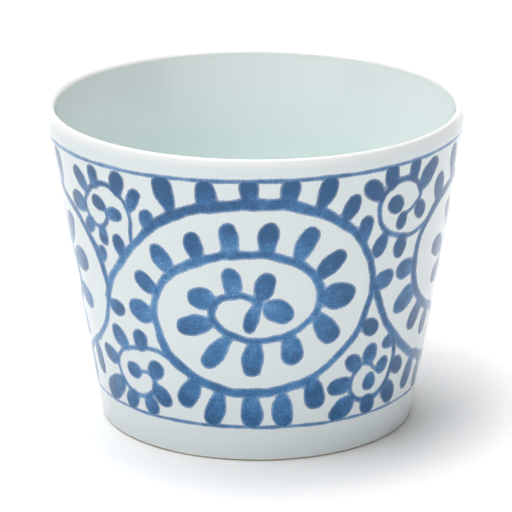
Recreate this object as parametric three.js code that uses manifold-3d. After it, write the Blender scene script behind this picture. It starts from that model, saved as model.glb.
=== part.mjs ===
// A handleless porcelain teacup with an octopus-scroll band painted in cobalt blue under the glaze.
// Millimetres, +Z up. The origin is the centre of the circle that the foot stands on.
import * as THREE from "three";
import { TessellateModifier } from "three/addons/modifiers/TessellateModifier.js";
import { mergeVertices } from "three/addons/utils/BufferGeometryUtils.js";
import Module from "manifold-3d";

const wasm = await Module();
wasm.setup();

// Driving dimensions of the cup.
const HEIGHT = 65.5;
const RIM_RADIUS = 42.4; // outside, at the top of the straight wall
const BASE_RADIUS = 31.9; // outside wall carried down to the table
const WALL_BULGE = 0.35; // how far the wall swells out half-way up
const LIP_THICKNESS = 2.3;
const LIP_OUTER_DROP = 3.2; // the outside of the lip starts to round over this far down
const LIP_INNER_DROP = 1.1;
const WALL_BOTTOM_THICKNESS = 4.6;
const FLOOR_HEIGHT = 6.2; // inside floor above the table
const FLOOR_CORNER = 7.5; // radius between the inside wall and the floor
const GLAZE_THICKNESS = 0.35;

// The bare foot ring and the shallow glazed recess inside it.
const FOOT_EDGE = 0.45; // rounding of the ring's outer edge
const FOOT_RING_WIDTH = 2.7;
const RECESS_DEPTH = 1.8;
const RECESS_SLOPE = 1.1;
const BARE_BAND = 0.6; // height of unglazed clay above the table, outside

// The painted band.
const UPPER_LINE_HEIGHT = 61.2;
const UPPER_LINE_WIDTH = 0.95;
const LOWER_LINE_HEIGHT = 7.7;
const LOWER_LINE_WIDTH = 0.8;
const PAINT_GAP = 0.2; // clear of the glaze's facets
const PAINT_THICKNESS = 0.3;
const STROKE_GAP = 0.3; // between two strokes painted side by side
const REPEAT_ANGLE = 90; // degrees from one medallion to the next

const LATHE_SEGMENTS = 40;
const LEAF_TIP_STEPS = 4;
const CURVE_STEP = 4.8; // mm of vine between two points of its outline
const LONGEST_EDGE = 8; // of a stroke's triangles when it is bent, so that it stays off the wall
const MOST_SPLITS = 8;
const DEGREES = Math.PI / 180;

// Strokes are written as they lie on the unrolled wall: degrees round the cup, then height in mm.
// A vine point is [degrees, height, width]. A leaf is [root degrees, root height, tip degrees,
// tip height, width, root width as a share of the leaf's width].

// The medallion is one vine that winds inwards clockwise, with leaves on its outer side.
const medallionVine = [
  [-51.6, 30.8, 1.3], [-50.8, 33.8, 1.3], [-48.4, 36.8, 1.3], [-43.6, 40.9, 1.4], [-37.8, 45.2, 1.4],
  [-32.2, 48.8, 1.6], [-26.4, 52.1, 1.9], [-19.5, 54.3, 1.9], [-11.5, 55.7, 2.1],
  [-3, 56.3, 2.2], [5.7, 56.4, 2.2], [13, 55.3, 2.0], [20, 53.3, 1.9],
  [27.1, 49.9, 1.6], [32.5, 44.9, 1.3], [35.6, 40.6, 1.2], [36.4, 36.6, 1.3],
  [35.2, 31.4, 1.2], [31.4, 25.9, 1.2], [25, 21.6, 1.2], [16.5, 17.8, 1.5],
  [5.7, 15.9, 1.7], [-5, 15.4, 1.7], [-14.5, 16.5, 1.8], [-22.9, 19.1, 1.9],
  [-29.2, 22.6, 2.0], [-32.2, 27.3, 1.5], [-32.7, 31.8, 1.3], [-30.4, 36.8, 1.3],
  [-24, 41.2, 1.6], [-15.7, 44.1, 1.6], [-6.2, 45.6, 1.5], [3.3, 45.5, 1.4],
  [12.3, 43.3, 1.6], [18, 39.3, 1.5], [19.1, 34.6, 1.4], [14.6, 30.3, 1.2],
  [6.9, 27.6, 1.1], [-1.4, 27.1, 1.1], [-9.2, 28.5, 1.2], [-13.8, 32.2, 1.3],
  [-11, 35.9, 1.1], [-5, 36.8, 1.1], [0.1, 35.6, 1.2],
];
const medallionLeaves = [
  // outer side of the outer turn, from the left over the top
  [-43, 42.2, -44.3, 46.1, 3.1, 0.8], [-31.6, 49.2, -33, 53.2, 3.1, 0.8],
  [-24.3, 53.9, -27.3, 61, 4.0, 0.8], [-13.6, 54.9, -14.4, 61, 4.1, 0.9],
  [-1.7, 56, -2.3, 62, 3.4, 1], [8.7, 56, 9, 62, 3.5, 1],
  [17.6, 55.2, 20.6, 61.6, 3.6, 0.75], [25.2, 51.8, 28, 57, 3.2, 0.75],
  [31.4, 47, 32.6, 51.8, 3.0, 0.9], [34.7, 28.8, 40.4, 25.9, 3.5, 0.7],
  [17.9, 18, 20.1, 11.2, 4.1, 0.75], [8.1, 14.9, 9, 7, 4.0, 0.7],
  [-1.7, 14.9, -1.9, 7, 4.2, 0.7], [-12.1, 15.3, -15.8, 7.4, 3.6, 0.7],
  [-20.2, 17.4, -25.5, 11.4, 3.9, 0.75],
  // outer side of the second turn
  [-51.9, 30.9, -45.2, 29.6, 3.2, 0.8], [-33.4, 30.5, -42.6, 31.1, 4.6, 0.6],
  [-31.6, 36, -38.6, 38.8, 3.6, 0.7], [-26.1, 40.9, -31.2, 45.9, 3.8, 0.7],
  [-16.9, 44, -19.2, 49.6, 3.5, 0.9], [-7.7, 45.3, -8.1, 52.2, 3.6, 1],
  [2.7, 45.6, 3.6, 52.4, 3.8, 0.95], [11.7, 44, 15.8, 51, 3.8, 0.75],
  [17.6, 40.4, 25.6, 45, 4.0, 0.7], [19.4, 35.7, 30.1, 35.8, 5.4, 0.5],
  [18, 31.9, 24.8, 26, 4.2, 0.7],
  // outer side of the inner turn, and the leaf that the vine ends in
  [-12.9, 35.4, -20.8, 36.1, 4.6, 0.6], [-14, 30.7, -24.8, 28.8, 4.3, 0.6],
  [-8.3, 27.9, -16.8, 21, 3.7, 0.6], [-0.8, 27, -1.8, 19.2, 4.0, 0.7],
  [10, 28.1, 11.5, 21.6, 4.2, 0.7], [-6.8, 36.8, -7.8, 42.6, 3.8, 0.8],
  [0.4, 35.8, 4, 41.5, 3.7, 0.5], [0.6, 35.6, -3, 29, 2.5, 0.8],
];
const medallionDrop = [2.2, 34.4, 10.7, 32.4, 4.8, 0.4];

// The next medallion winds inwards the other way, starting along the bottom.
const mirrorVine = [
  [-52, 38.2, 1.3], [-51.4, 34.8, 1.3], [-49, 31.2, 1.3], [-43.9, 25.9, 1.5],
  [-37.2, 21.6, 1.6], [-30.6, 18.5, 1.5], [-22.2, 16, 1.8], [-12, 13.9, 2.0],
  [-3, 13, 2.1], [5.7, 13.5, 2.0], [13, 15.6, 1.6], [20.6, 18.5, 1.1],
  [28.3, 21.7, 1.0], [34.4, 26.2, 1.0], [37.2, 30.2, 1.1], [38.1, 34.5, 1.5],
  [36.1, 39.8, 1.6], [31.1, 44.5, 1.5], [23.9, 48.3, 1.6], [15, 50.6, 1.7],
  [5, 52.6, 1.7], [-5, 53.4, 1.8], [-15, 52.8, 1.8], [-23.9, 51.1, 1.9],
  [-31.2, 47.7, 1.8], [-35.2, 43.4, 1.4], [-35.8, 38.6, 1.5], [-33.4, 33.6, 1.6],
  [-28.3, 29.4, 1.6], [-19.4, 26.2, 1.6], [-9, 23.9, 1.6], [3.3, 23.4, 1.4],
  [12, 25.6, 1.5], [16.6, 29.7, 1.4], [17, 34.3, 1.4], [13.6, 38.6, 1.2],
  [6.9, 41.3, 1.1], [-1.4, 41.8, 1.1], [-9.2, 40.4, 1.2], [-13.8, 36.7, 1.3],
  [-11, 33, 1.1], [-5, 32.1, 1.1], [0.1, 33.3, 1.2],
];
const mirrorLeaves = [
  // outer side of the outer turn, from the left along the bottom
  [-25.6, 16.6, -29.5, 9.9, 3.8, 0.75], [-16.2, 14.6, -17.6, 7, 4.0, 0.8],
  [-5.2, 12.9, -6, 7, 3.8, 0.9], [5.4, 13.3, 5.4, 7, 3.6, 0.9],
  [14.2, 16, 12.6, 8.4, 3.7, 0.75], [22.8, 19, 24.3, 12.4, 3.5, 0.7],
  [36.4, 39.4, 39, 42.5, 2.6, 0.9], [15.8, 51, 18.4, 59.8, 3.7, 0.75],
  [5, 53, 6.2, 60.8, 4.0, 0.7], [-5.4, 53.8, -6.2, 62, 4.1, 0.7],
  [-16.2, 53.2, -19.8, 60.6, 3.7, 0.7], [-26.3, 50.5, -28.6, 56.3, 3.9, 0.8],
  // outer side of the second turn
  [-51.4, 36.7, -45.6, 37.8, 4.0, 0.6], [-36.4, 38.2, -44, 38.2, 4.1, 0.7],
  [-33.7, 33.2, -42.4, 29.3, 4.7, 0.6], [-27.5, 29.1, -32.4, 23.4, 4.0, 0.7],
  [-20, 26.2, -21.5, 20.3, 3.7, 0.85], [-8.7, 24, -9.3, 16.9, 3.6, 1],
  [2.7, 23.3, 3.4, 16.4, 3.8, 0.95], [11.2, 25.2, 14.8, 19, 3.8, 0.75],
  [16.7, 30.7, 26, 27.5, 4.2, 0.6], [16.8, 36.2, 27.6, 37.6, 4.8, 0.55],
  [13.6, 39, 20.2, 46, 4.3, 0.6],
  // outer side of the inner turn, and the leaf that the vine ends in
  [-12.9, 33.5, -20.8, 32.8, 4.6, 0.6], [-14, 38.2, -24.8, 40.1, 4.3, 0.6],
  [-8.3, 41, -16.8, 47.9, 3.7, 0.6], [-0.8, 41.9, -1.8, 49.7, 4.0, 0.7],
  [9.2, 41, 10.5, 47.3, 4.2, 0.7], [-6.8, 32.1, -7.8, 26.3, 3.8, 0.8],
  [0.4, 33.1, 4, 27.4, 3.7, 0.5], [0.6, 33.3, -3, 39.9, 2.5, 0.8],
];
const mirrorDrop = [2.2, 34.5, 10.7, 36.5, 4.8, 0.4];

// The small scrolls that fill the corners left of a medallion that winds clockwise.
const risingScroll = {
  vine: [
    [-38.6, 45.9, 0.9], [-38.3, 50.2, 0.9], [-40.3, 54.5, 0.9], [-46.1, 56.6, 1.2],
    [-52.8, 55.2, 1.1], [-56.9, 51, 0.9], [-55.3, 47.8, 0.9], [-50.8, 46.8, 0.9],
    [-47.1, 49, 0.9], [-47.6, 51.1, 0.8],
  ],
  leaves: [
    [-38.2, 52.2, -34.6, 57, 2.9, 0.6], [-42, 55.2, -40.7, 60.1, 3.5, 0.7],
    [-51.1, 55.6, -50.6, 60, 3.0, 0.9], [-55.2, 53.7, -60.2, 58.1, 3.5, 0.6],
    [-57, 50.6, -65.4, 50.5, 4.2, 0.6], [-54.7, 47.9, -58.4, 45.1, 3.1, 0.8],
    [-50.3, 46.9, -50.3, 43.2, 2.8, 0.8], [-47, 50.4, -41.3, 51, 2.9, 0.4],
    [-47.8, 51, -53, 53, 3.1, 0.4],
  ],
};
const creepingScroll = {
  vine: [
    [-28.5, 21.7, 1.1], [-33.3, 22.5, 1.0], [-41.7, 22.2, 0.9], [-49.2, 20.4, 0.9],
    [-52.6, 16.9, 0.9], [-50.6, 13.3, 0.9], [-43.5, 11.2, 1.0], [-37.4, 12.8, 1.0],
    [-35.8, 15.3, 1.0], [-37.8, 16.9, 0.8], [-43, 16.7, 0.8],
  ],
  leaves: [
    [-39.9, 22.2, -39.7, 26.4, 3.6, 0.9], [-46.7, 21.2, -52.4, 25.5, 3.9, 0.6],
    [-52.2, 17.8, -60.5, 18.9, 3.7, 0.5], [-51, 13.7, -62.4, 8.5, 4.7, 0.45],
    [-46.2, 11.9, -49.4, 6.8, 3.4, 0.7], [-39.4, 11.8, -38.1, 7, 3.4, 0.7],
    [-35.9, 14.6, -30.8, 10.5, 3.7, 0.5], [-36.9, 16.4, -33.2, 19.9, 3.5, 0.6],
    [-42.5, 16.7, -47.7, 17.1, 3.5, 0.4],
  ],
};
// Those left of a medallion that winds the other way.
const droopingScroll = {
  vine: [
    [-40.8, 23.4, 1.1], [-39.4, 19.4, 1.1], [-40.8, 15, 1.2], [-45, 11.7, 1.3],
    [-51, 11, 1.2], [-56.3, 12.8, 0.9], [-57.6, 16, 0.8], [-55, 19, 0.8],
    [-51.3, 19.5, 0.7], [-48.6, 17.8, 0.7], [-46.1, 16.4, 0.7],
  ],
  leaves: [
    [-41.4, 22.9, -46, 22.5, 3.1, 0.7], [-51, 19.3, -50.6, 23.5, 3.5, 0.8],
    [-55.2, 18.5, -59.9, 21.5, 3.5, 0.6], [-57.6, 15.3, -66, 15.3, 3.9, 0.6],
    [-56, 12.4, -64.1, 8.1, 4.1, 0.6], [-49.2, 11.3, -49.2, 6.8, 3.8, 0.8],
    [-42.2, 13.6, -36.7, 8.6, 3.7, 0.5], [-46.3, 16.4, -43, 19.4, 2.9, 0.5],
    [-39.6, 18.1, -33.7, 14.8, 3.5, 0.5],
  ],
  drop: [-49.2, 16.6, -50.8, 13.1, 3.1, 0.7],
};
const climbingScroll = {
  vine: [
    [-33.6, 46.8, 1.1], [-37.8, 45.7, 1.0], [-44.4, 45.9, 1.0], [-50.7, 47.7, 1.1],
    [-53.9, 51.8, 1.1], [-52.4, 56.2, 1.2], [-47.2, 58.3, 1.3], [-41.6, 57.3, 1.2],
    [-38.2, 53.9, 1.0], [-40.6, 51.7, 0.8], [-44.8, 50, 0.8],
  ],
  leaves: [
    [-50.8, 57.1, -50.7, 62, 3.6, 0.9], [-41.9, 57.4, -41.7, 62, 3.0, 1],
    [-38.7, 54.9, -31.6, 60.2, 4.3, 0.5], [-53.4, 54.9, -59.3, 59.3, 3.5, 0.6],
    [-51.1, 47.4, -53.4, 42.6, 3.3, 0.7], [-44.2, 45.9, -44.2, 41.3, 3.3, 0.8],
    [-38.8, 52.4, -35.5, 48.5, 3.1, 0.6], [-44.2, 50.6, -45.9, 47.5, 2.8, 0.7],
  ],
  drop: [-46.2, 51.8, -50.5, 54.5, 3.6, 0.4],
};

const clay = { color: 0xb9b0a0, roughness: 0.85, metalness: 0 };
const glaze = { color: 0xe3ebea, roughness: 0.12, metalness: 0 };
const cobalt = { color: 0x35628e, roughness: 0.2, metalness: 0 };

const cup = new THREE.Group();

function addPiece(name, geometry, finish, turn = 0) {
  const piece = new THREE.Mesh(geometry, new THREE.MeshStandardMaterial(finish));
  piece.name = name;
  piece.rotation.z = turn * DEGREES;
  cup.add(piece);
}

// Outside radius of the glazed wall at a height.
function wallRadius(height) {
  const rise = height / HEIGHT;
  return BASE_RADIUS + (RIM_RADIUS - BASE_RADIUS) * rise + WALL_BULGE * 4 * rise * (1 - rise);
}

// A closed profile of [radius, height] points, turned about +Z.
function turned(profile) {
  const points = profile.map(([radius, height]) => new THREE.Vector2(radius, height));
  const geometry = new THREE.LatheGeometry(points, LATHE_SEGMENTS);
  return geometry.rotateX(Math.PI / 2);
}

// Points of an ellipse's arc, from one angle to another, both included.
function arc(centre, radii, from, to, steps) {
  return Array.from({ length: steps + 1 }, (_, i) => {
    const angle = (from + ((to - from) * i) / steps) * DEGREES;
    return [centre[0] + radii[0] * Math.cos(angle), centre[1] + radii[1] * Math.sin(angle)];
  });
}

// The cup's surface from the foot up the outside, over the lip and down the inside to the axis,
// moved into the clay by inset.
function skin(inset, startHeight) {
  const shoulder = HEIGHT - LIP_OUTER_DROP;
  const half = LIP_THICKNESS / 2 - inset;
  const outside = [startHeight, HEIGHT * 0.3, HEIGHT * 0.65].map((height) => [
    wallRadius(height) - inset,
    height,
  ]);
  // The lip's outside keeps to the wall's lean as it rounds over, so that no crease shows below it.
  const rounding = arc([-half, shoulder], [half, LIP_OUTER_DROP - inset], 0, 90, 4);
  const outerLip = rounding.map(([lean, height]) => [wallRadius(height) - inset + lean, height]);
  const lipMiddle = outerLip.at(-1)[0];
  const innerTop = HEIGHT - LIP_INNER_DROP;
  const innerLip = arc([lipMiddle, innerTop], [half, LIP_INNER_DROP - inset], 90, 180, 3).slice(1);
  const cornerHeight = FLOOR_HEIGHT + FLOOR_CORNER;
  const cornerCentre = wallRadius(cornerHeight) - WALL_BOTTOM_THICKNESS - FLOOR_CORNER;
  const cornerRadius = FLOOR_CORNER + inset;
  const corner = arc([cornerCentre, cornerHeight], [cornerRadius, cornerRadius], 0, -90, 5);
  return [...outside, ...outerLip, ...innerLip, ...corner, [0, FLOOR_HEIGHT - inset]];
}

function addClay() {
  const glazed = skin(GLAZE_THICKNESS, BARE_BAND);
  const ringOutside = wallRadius(0) - FOOT_EDGE;
  const ringInside = ringOutside - FOOT_RING_WIDTH;
  const foot = [
    [0, RECESS_DEPTH],
    [ringInside - RECESS_SLOPE, RECESS_DEPTH],
    [ringInside, 0],
    [ringOutside, 0],
    [wallRadius(FOOT_EDGE) - GLAZE_THICKNESS / 2, FOOT_EDGE],
  ];
  addPiece("porcelain_body", turned([...foot, ...glazed]), clay);
}

function addGlaze() {
  const under = skin(GLAZE_THICKNESS, BARE_BAND).reverse();
  const over = skin(0, BARE_BAND);
  addPiece("glaze_coat", turned([...under, ...over]), glaze);
  const discRadius = wallRadius(0) - FOOT_EDGE - FOOT_RING_WIDTH - RECESS_SLOPE;
  const disc = [
    [0, RECESS_DEPTH - GLAZE_THICKNESS],
    [discRadius, RECESS_DEPTH - GLAZE_THICKNESS],
    [discRadius, RECESS_DEPTH],
    [0, RECESS_DEPTH],
  ];
  addPiece("foot_glaze", turned(disc), glaze);
}

function addLine(name, height, width) {
  const [low, high] = [height - width / 2, height + width / 2];
  const inner = (level) => wallRadius(level) + PAINT_GAP;
  const outer = (level) => inner(level) + PAINT_THICKNESS;
  const ring = [
    [inner(low), low],
    [outer(low), low],
    [outer(high), high],
    [inner(high), high],
    [inner(low), low],
  ];
  addPiece(name, turned(ring), cobalt);
}

// Length on the wall of one degree round the cup.
function mmPerDegree(height) {
  return wallRadius(height) * DEGREES;
}

// A point beside [degrees, height], moved by millimetres round the cup and up it.
function beside([degrees, height], along, up) {
  return new THREE.Vector2(degrees + along / mmPerDegree(height), height + up);
}

// The outline of a vine: up one side of its smooth centre line and back down the other.
function vineShape(points, extra) {
  const flat = points.map(([d, h, w]) => new THREE.Vector3(d * mmPerDegree(h), h, w));
  const curve = new THREE.CatmullRomCurve3(flat, false, "centripetal");
  const steps = Math.ceil(curve.getLength() / CURVE_STEP);
  const left = [];
  const right = [];
  for (let i = 0; i <= steps; i++) {
    const { x, y, z: width } = curve.getPointAt(i / steps);
    const along = curve.getTangentAt(i / steps);
    const length = Math.hypot(along.x, along.y);
    const half = (width + extra) / 2;
    const [sideways, up] = [(-along.y / length) * half, (along.x / length) * half];
    const centre = [x / mmPerDegree(y), y];
    left.push(beside(centre, sideways, up));
    right.push(beside(centre, -sideways, -up));
  }
  return new THREE.Shape([...left, ...right.reverse()]);
}

// A drop-shaped leaf: a narrow blunt root, sunk in the vine, and a wide round tip.
function leafShape([rootDegrees, rootHeight, tipDegrees, tipHeight, width, rootShare], extra) {
  const scale = mmPerDegree((rootHeight + tipHeight) / 2);
  const [dx, dy] = [(tipDegrees - rootDegrees) * scale, tipHeight - rootHeight];
  const length = Math.hypot(dx, dy);
  const angle = Math.atan2(dy, dx) / DEGREES;
  const tipRadius = (width + extra) / 2;
  const rootRadius = (width * rootShare + extra) / 2;
  const bulb = 1 - width / 2 / length;
  const tip = [rootDegrees + (dx * bulb) / scale, rootHeight + dy * bulb];
  const roundTip = arc([0, 0], [tipRadius, tipRadius], angle - 90, angle + 90, LEAF_TIP_STEPS);
  const bluntRoot = arc([0, 0], [rootRadius, rootRadius], angle + 130, angle + 230, 1);
  return new THREE.Shape([
    ...roundTip.map(([x, y]) => beside(tip, x, y)),
    ...bluntRoot.map(([x, y]) => beside([rootDegrees, rootHeight], x, y)),
  ]);
}

function solidFrom(geometry) {
  geometry.deleteAttribute("normal");
  geometry.deleteAttribute("uv");
  const merged = mergeVertices(geometry, 1e-4);
  const vertProperties = merged.getAttribute("position").array;
  const triVerts = new Uint32Array(merged.index.array);
  return new wasm.Manifold(new wasm.Mesh({ numProp: 3, vertProperties, triVerts }));
}

function prism(shape, base = 0, depth = PAINT_THICKNESS) {
  const geometry = new THREE.ExtrudeGeometry(shape, { depth, bevelEnabled: false, steps: 1 });
  return solidFrom(geometry.translate(0, 0, base));
}

// Every stroke of a scroll joined, still flat on the unrolled wall. extra widens all of them.
function flatScroll(vine, leaves, extra) {
  const strokes = leaves.map((leaf) => prism(leafShape(leaf, extra)));
  return strokes.reduce((joined, stroke) => joined.add(stroke), prism(vineShape(vine, extra)));
}

// The room that the band leaves between its two lines.
function bandRoom() {
  const low = LOWER_LINE_HEIGHT + LOWER_LINE_WIDTH / 2 + STROKE_GAP;
  const high = UPPER_LINE_HEIGHT - UPPER_LINE_WIDTH / 2 - STROKE_GAP;
  const side = 2 * REPEAT_ANGLE;
  const corners = [
    [-side, low],
    [side, low],
    [side, high],
    [-side, high],
  ];
  const outline = new THREE.Shape(corners.map(([x, y]) => new THREE.Vector2(x, y)));
  return prism(outline, -PAINT_THICKNESS, 3 * PAINT_THICKNESS);
}

// A flat solid bent round the wall, its long triangles split first.
function bent(solid) {
  const { vertProperties, triVerts } = solid.getMesh();
  const flat = new THREE.BufferGeometry();
  flat.setAttribute("position", new THREE.BufferAttribute(vertProperties, 3));
  flat.setIndex(new THREE.BufferAttribute(triVerts, 1));
  const geometry = new TessellateModifier(LONGEST_EDGE, MOST_SPLITS).modify(flat);
  const position = geometry.getAttribute("position");
  for (let i = 0; i < position.count; i++) {
    const angle = position.getX(i) * DEGREES;
    const height = position.getY(i);
    const radius = wallRadius(height) + PAINT_GAP + position.getZ(i);
    position.setXYZ(i, radius * Math.sin(angle), -radius * Math.cos(angle), height);
  }
  geometry.computeVertexNormals();
  return geometry;
}

function shifted(strokes, degrees) {
  return strokes.map((stroke) => {
    const moved = [...stroke];
    moved[0] += degrees;
    if (stroke.length > 3) moved[2] += degrees;
    return moved;
  });
}

const clockwise = { vine: medallionVine, leaves: medallionLeaves, drop: medallionDrop };
const anticlockwise = { vine: mirrorVine, leaves: mirrorLeaves, drop: mirrorDrop };

// The pieces of one repeat, each cut clear of the strokes laid before it. The first strokes to
// keep clear of are those of the medallion before.
function paintRepeat(medallion, previous, upper, lower) {
  const before = [shifted(previous.vine, -REPEAT_ANGLE), shifted(previous.leaves, -REPEAT_ANGLE)];
  const pieces = {};
  let taken = flatScroll(...before, 2 * STROKE_GAP);
  const paint = (name, strokes) => {
    pieces[name] = strokes(0).subtract(taken).intersect(bandRoom());
    taken = taken.add(strokes(2 * STROKE_GAP));
  };
  paint("medallion", (extra) => flatScroll(medallion.vine, medallion.leaves, extra));
  paint("centre_drop", (extra) => prism(leafShape(medallion.drop, extra)));
  for (const [name, scroll] of Object.entries({ upper, lower })) {
    paint(name + "_scroll", (extra) => flatScroll(scroll.vine, scroll.leaves, extra));
    if (scroll.drop) paint(name + "_drop", (extra) => prism(leafShape(scroll.drop, extra)));
  }
  return pieces;
}

function addBand() {
  addLine("upper_line", UPPER_LINE_HEIGHT, UPPER_LINE_WIDTH);
  addLine("lower_line", LOWER_LINE_HEIGHT, LOWER_LINE_WIDTH);
  const clockwiseRepeat = paintRepeat(clockwise, anticlockwise, risingScroll, creepingScroll);
  const otherRepeat = paintRepeat(anticlockwise, clockwise, climbingScroll, droopingScroll);
  const sides = { front: clockwiseRepeat, right: otherRepeat, back: clockwiseRepeat, left: otherRepeat };
  Object.entries(sides).forEach(([side, pieces], index) => {
    for (const [name, solid] of Object.entries(pieces)) {
      addPiece(side + "_" + name, bent(solid), cobalt, index * REPEAT_ANGLE);
    }
  });
}

addClay();
addGlaze();
addBand();

export default cup;
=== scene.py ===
"""The looks of a handleless porcelain teacup with octopus-scroll brushwork in cobalt blue.

Lengths are in millimetres until a mesh is made. A place on the painted band is written as it lies on
the unrolled wall: degrees round the cup from the front, then height above the table.
"""

import math

import bpy
import numpy as np
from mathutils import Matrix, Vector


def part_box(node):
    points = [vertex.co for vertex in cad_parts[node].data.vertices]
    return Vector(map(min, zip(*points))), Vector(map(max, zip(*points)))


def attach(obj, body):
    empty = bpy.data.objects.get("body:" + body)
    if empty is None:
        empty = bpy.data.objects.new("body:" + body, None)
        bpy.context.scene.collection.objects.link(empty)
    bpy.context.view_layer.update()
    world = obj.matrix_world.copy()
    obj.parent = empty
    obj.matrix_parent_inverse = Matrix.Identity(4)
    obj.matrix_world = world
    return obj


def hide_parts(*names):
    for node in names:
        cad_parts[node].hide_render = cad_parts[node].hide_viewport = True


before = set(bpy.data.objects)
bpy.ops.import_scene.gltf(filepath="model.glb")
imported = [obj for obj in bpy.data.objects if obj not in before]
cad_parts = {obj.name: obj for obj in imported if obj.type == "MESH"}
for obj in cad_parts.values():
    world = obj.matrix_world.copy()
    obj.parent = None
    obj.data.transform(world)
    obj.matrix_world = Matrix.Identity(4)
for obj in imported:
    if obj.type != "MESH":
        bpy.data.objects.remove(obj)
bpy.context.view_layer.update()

METRES = 0.001  # of one millimetre
DEGREES = math.pi / 180

# The cup, as in the CAD part.
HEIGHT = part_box("glaze_coat")[1].z / METRES
RIM_RADIUS = 42.4
BASE_RADIUS = 31.9
WALL_BULGE = 0.35
LIP_THICKNESS = 2.3
LIP_OUTER_DROP = 3.2
LIP_INNER_DROP = 1.1
WALL_BOTTOM_THICKNESS = 4.6
FLOOR_HEIGHT = 6.2
FLOOR_CORNER = 7.5
GLAZE_THICKNESS = 0.35
FOOT_EDGE = 0.45
FOOT_RING_WIDTH = 2.7
RECESS_DEPTH = 1.8
RECESS_SLOPE = 1.1
BARE_BAND = 0.6

LIP_HIGHLIGHT_REACH = 2.2  # the glaze is painted paler and warmer this far down from the lip's top: a painted highlight and a painted glow of light through the thin lip
INNER_SWELL = 0.4  # how far the inside wall swells inwards half-way down
# Shares that set the glaze's colour over the lip and at the top of the inside wall, and how much more they
# grow over the cup's whole height: painted light makes the inside lighter; lower down it goes darker and
# aqua, the pooled glaze's tint with painted shade.
LIP_POOL_AND_LIGHT = 0.2
WALL_POOL_AND_LIGHT = 0.4
POOL_AND_SHADE_GROWTH = 0.8

# The rim was pushed out a little on the left before firing.
LIP_PUSH = 0.7
PUSH_START, PUSH_END = 50, 63  # heights

LATHE_SEGMENTS = 256
WALL_STEP = 1.4
LIP_POINTS = 15  # down the outside of the lip
INNER_WALL_POINTS = 34

# The painted band.
UPPER_LINE = {"height": 61.2, "width": 0.95, "tilt": 0.55}
LOWER_LINE = {"height": 7.7, "width": 0.85, "tilt": 0.07}
REPEAT_ANGLE = 90
PAINT_STEP = 0.2  # between two points of a painted piece's mesh
PAINT_MARGIN = 0.95  # a painted piece reaches this far past its strokes
PAINT_RELIEF = 0.015  # how far the glaze stands up over a stroke
PAINT_SINK = 0.02  # how far a piece's rim lies under the glaze
RING_STEPS = 720
RING_ROWS = 9  # across a ring line
LINE_OVERLAP = 0.25  # a leaf that meets a ring line ends this far past the line's middle
PATH_STEP = 0.35  # between two circles of a vine
LEAF_CIRCLES = 14
BELLY_PLACE = 0.68  # where a leaf is widest, as a share of its length
ROOT_SLENDER = 0.78
TIP_SLENDER = 0.9
WET_JOIN = 0.22  # how widely wet strokes run together where they meet
BRUSH_TONES = (0.38, 0.72)  # the least and most pigment in a freshly dipped brush
ROOT_PALER, TIP_DARKER = 0.22, 0.42  # a leaf is paler at its root, and its pigment ran to the tip
OVERLAP_DARKER = 0.3  # for each mm that two strokes overlap
# How far wet pigment spreads past each side of a vine and of a leaf: more where the brush was fuller.
MEDALLION_SPREAD = (0.27, 0.29)
SCROLL_SPREAD = (0.14, 0.24)
TOP_LOAD = 0.36  # more pigment towards the top of the band
TOP_LOAD_START, TOP_LOAD_RISE = 44, 16  # the height where it begins, and how far up it grows
RIGHT_LOAD = 0.26  # and on the right of the cup

# A vine point is [degrees, height, width]. A leaf is [root degrees, root height, tip degrees,
# tip height, width, root width as a share of the leaf's width].

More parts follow.
